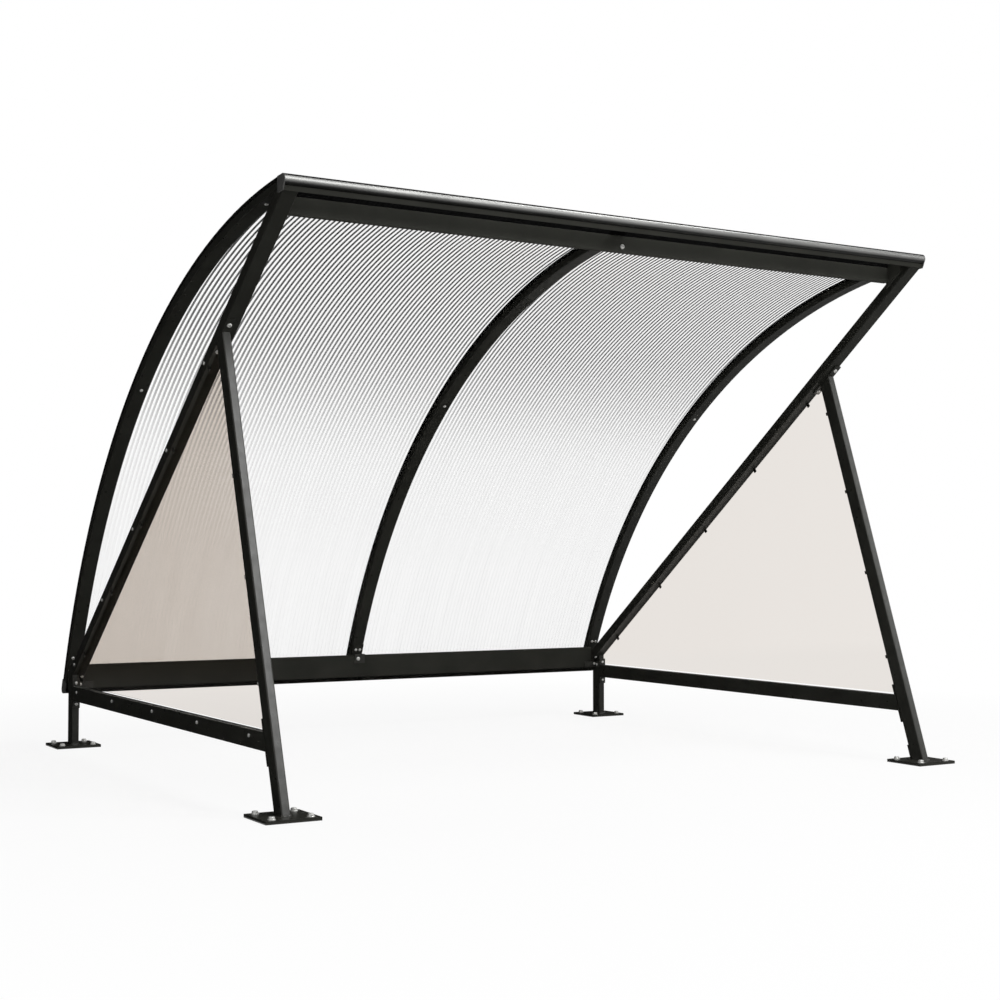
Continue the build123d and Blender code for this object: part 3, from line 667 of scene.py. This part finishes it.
behindLeg = np.array([frontY, 0.0]) + tubeDepth / 2 * legBack
topCorner = crossing(strutUnder, strutAlong, behindLeg, legAlong)
railTop = np.array([0, railMiddle + tubeDepth / 2])
frontCorner = crossing(behindLeg, legAlong, railTop, np.array([1.0, 0]))
clipStart, clipRun = topCorner + clip["inset"] * legBack, frontCorner - topCorner
clipSpots = [((clip["face"], *(clipStart + share * clipRun)), (1, 0, 0)) for share in clip["legShares"]]
fasteners("clip_rivets", tiny, *bothSides(*zip(*clipSpots)))
print("fasteners made")


# weld beads round the feet of legs and posts
bead = {"radius": 0.0034, "ripple": 0.0005, "ripples": 46, "corner": 0.005, "cornerSteps": 9, "sideSteps": 16,
        "sides": 10, "sharpFrom": 2.0}


def roundedLoop(halfX, halfY):
    # four quarter circles joined by straight sides: points and outward directions
    turn = np.concatenate([np.linspace(q, q + 1, bead["cornerSteps"]) for q in range(4)]) * math.pi / 2
    outward = np.stack([np.cos(turn), np.sin(turn)], -1)
    quarter = np.repeat(np.arange(4), bead["cornerSteps"])
    signs = np.array([(1, 1), (-1, 1), (-1, -1), (1, -1)])[quarter]
    points = signs * (np.array([halfX, halfY]) - bead["corner"]) + bead["corner"] * outward
    ends = np.flatnonzero(np.diff(np.append(quarter, 4)))
    share = np.linspace(0, 1, bead["sideSteps"], endpoint=False)[1:, None]
    runs, normals = [], []
    for end in ends:
        corner = slice(end - bead["cornerSteps"] + 1, end + 1)
        nextPoint = points[(end + 1) % len(points)]
        runs += [points[corner], points[end] + share * (nextPoint - points[end])]
        normals += [outward[corner], np.repeat(outward[end:end + 1], len(share), 0)]
    return np.concatenate(runs), np.concatenate(normals)


def weldBeads(name, centres, halfX, halfY):
    # point = loop + radius * (cos along the normal, sin upward), and the radius swells with a ripple
    loop, normal = roundedLoop(halfX, halfY)
    step = np.linalg.norm(np.roll(loop, -1, 0) - loop, axis=1)
    share = np.cumsum(step) / step.sum()
    radius = (bead["radius"] + bead["ripple"] * np.abs(np.sin(share * math.pi * bead["ripples"])))[:, None]
    swing = np.linspace(0, 2 * math.pi, bead["sides"], endpoint=False)[None, :]
    out = radius * np.cos(swing)
    ring = np.stack([loop[:, :1] + out * normal[:, :1], loop[:, 1:] + out * normal[:, 1:],
                     radius * np.sin(swing)], -1)
    single = gridFaces(len(loop), bead["sides"], True, True)[:, ::-1]
    points = centres[:, None, :] + ring.reshape(1, -1, 3)
    shift = (np.arange(len(centres)) * len(loop) * bead["sides"])[:, None, None]
    faces = (single[None] + shift).reshape(-1, 4)
    putPiece(name, points, faces, "frame_paint", sharpFrom=bead["sharpFrom"])


legShift = plateTop * legAlong[0] / legAlong[1]
for name, y, depth in (("leg_welds", frontY + legShift, tubeDepth / legAlong[1]),
                       ("post_welds", rearY, tubeDepth)):
    centres = np.array([(sx * halfSpan, y, plateTop) for sx in (-1, 1)])
    weldBeads(name, centres, tubeWidth / 2, depth / 2)
print("welds made")


# studio: floor, pale surroundings, dark cards and soft lamps
studio = {"ambient": 0.25, "floorShare": 0.90, "floorColour": (0.9, 0.9, 0.9), "floorReach": 40.0,
          "fadeFrom": 2.0, "fadeTo": 4.5}


def seenFlag(tree):
    # 1 for rays from the camera, from gloss and through clear pieces
    light = addNode(tree, "ShaderNodeLightPath")
    first = addNode(tree, "ShaderNodeMath", {"operation": "MAXIMUM"})
    second = addNode(tree, "ShaderNodeMath", {"operation": "MAXIMUM"})
    tree.links.new(light.outputs["Is Camera Ray"], first.inputs[0])
    tree.links.new(light.outputs["Is Glossy Ray"], first.inputs[1])
    tree.links.new(first.outputs["Value"], second.inputs[0])
    tree.links.new(light.outputs["Is Transmission Ray"], second.inputs[1])
    return second.outputs["Value"]


world = bpy.data.worlds.new("studio")
world.use_nodes = True
scene.world = world
tree = world.node_tree
sky = tree.nodes["Background"]
sky.inputs["Color"].default_value = (1, 1, 1, 1)
tree.links.new(ranged(tree, seenFlag(tree), studio["ambient"], 1, 0, 1), sky.inputs["Strength"])


def flatStage(name, corners, material):
    mesh = bpy.data.meshes.new(name)
    mesh.from_pydata(corners, [], [(0, 1, 2, 3)])
    mesh.materials.append(material)
    sheet = bpy.data.objects.new(name, mesh)
    scene.collection.objects.link(sheet)
    return sheet


# floor: pale paint that keeps the shadow, brightening to the white background away from the shelter
floorPaint = bpy.data.materials.new("floor_paint")
floorPaint.use_nodes = True
tree = floorPaint.node_tree
tree.nodes.remove(tree.nodes["Principled BSDF"])
diffuse = addNode(tree, "ShaderNodeBsdfDiffuse", Color=(*studio["floorColour"], 1))
glow = addNode(tree, "ShaderNodeEmission")
mix = addNode(tree, "ShaderNodeMixShader")
place = addNode(tree, "ShaderNodeTexCoord")
away = addNode(tree, "ShaderNodeVectorMath", {"operation": "LENGTH"})
tree.links.new(place.outputs["Object"], away.inputs[0])
share = ranged(tree, away.outputs["Value"], studio["floorShare"], 1, studio["fadeFrom"], studio["fadeTo"])
tree.links.new(timesOf(tree, seenFlag(tree), share), mix.inputs["Fac"])
tree.links.new(diffuse.outputs["BSDF"], mix.inputs[1])
tree.links.new(glow.outputs["Emission"], mix.inputs[2])
tree.links.new(mix.outputs["Shader"], tree.nodes["Material Output"].inputs["Surface"])
reach = studio["floorReach"]
floorCorners = [(-reach, -reach, 0), (reach, -reach, 0), (reach, reach, 0), (-reach, reach, 0)]
flatStage("floor", floorCorners, floorPaint)

# dark and grey mats on the floor, as (x, x, y, y, grey), and dark walls at the back, as (x, y, x, y, grey),
# which only gloss sees
card = {"mats": ((-9.0, 9.0, -4.2, -1.45, 0.06), (-9.0, 1.5, -1.45, 9.5, 0.02),
                 (1.5, 9.0, -1.45, 9.5, 0.35)),
        "walls": ((-9.0, 1.5, -0.5, 9.5, 0.004), (-0.5, 9.5, 14.0, 9.5, 0.004)), "level": 0.004, "top": 12.0}


def stageCard(name, corners, grey):
    paint, tree, shader = newMaterial(name + "_paint")
    shader.inputs["Base Color"].default_value = (grey, grey, grey, 1)
    shader.inputs["Roughness"].default_value = 1
    shader.inputs["Specular IOR Level"].default_value = 0
    sheet = flatStage(name, corners, paint)
    for kind in ("camera", "transmission", "shadow", "diffuse"):
        setattr(sheet, "visible_" + kind, False)


low, top = card["level"], card["top"]
for number, (x0, x1, y0, y1, grey) in enumerate(card["mats"]):
    stageCard("mat_%d" % (number + 1), [(x0, y0, low), (x1, y0, low), (x1, y1, low), (x0, y1, low)], grey)
for number, (x0, y0, x1, y1, grey) in enumerate(card["walls"]):
    stageCard("wall_%d" % (number + 1), [(x0, y0, low), (x1, y1, low), (x1, y1, top), (x0, y0, top)], grey)

lamps = {
    "keyLamp": {"place": (3.0, -3.0, 6.6), "aim": (0.0, -1.2, 2.0), "size": (2.0, 1.2), "watts": 170},
    "leftLamp": {"place": (0.9, -5.5, 4.4), "aim": (-1.4, -1.0, 1.0), "size": (1.2, 3.6), "watts": 190},
    "rightLamp": {"place": (6.9, -5.5, 4.4), "aim": (1.4, -1.0, 1.0), "size": (1.2, 3.0), "watts": 60},
}
for name, lamp in lamps.items():
    light = bpy.data.lights.new(name, "AREA")
    light.shape = "RECTANGLE"
    light.size, light.size_y = lamp["size"]
    light.energy = lamp["watts"]
    holder = bpy.data.objects.new(name, light)
    scene.collection.objects.link(holder)
    direction = np.array(lamp["aim"]) - np.array(lamp["place"])
    holder.location = lamp["place"]
    yaw = math.atan2(-direction[0], direction[1])
    pitch = math.atan2(direction[2], math.hypot(direction[0], direction[1]))
    holder.rotation_euler = (math.pi / 2 + pitch, 0, yaw)
print("studio made")
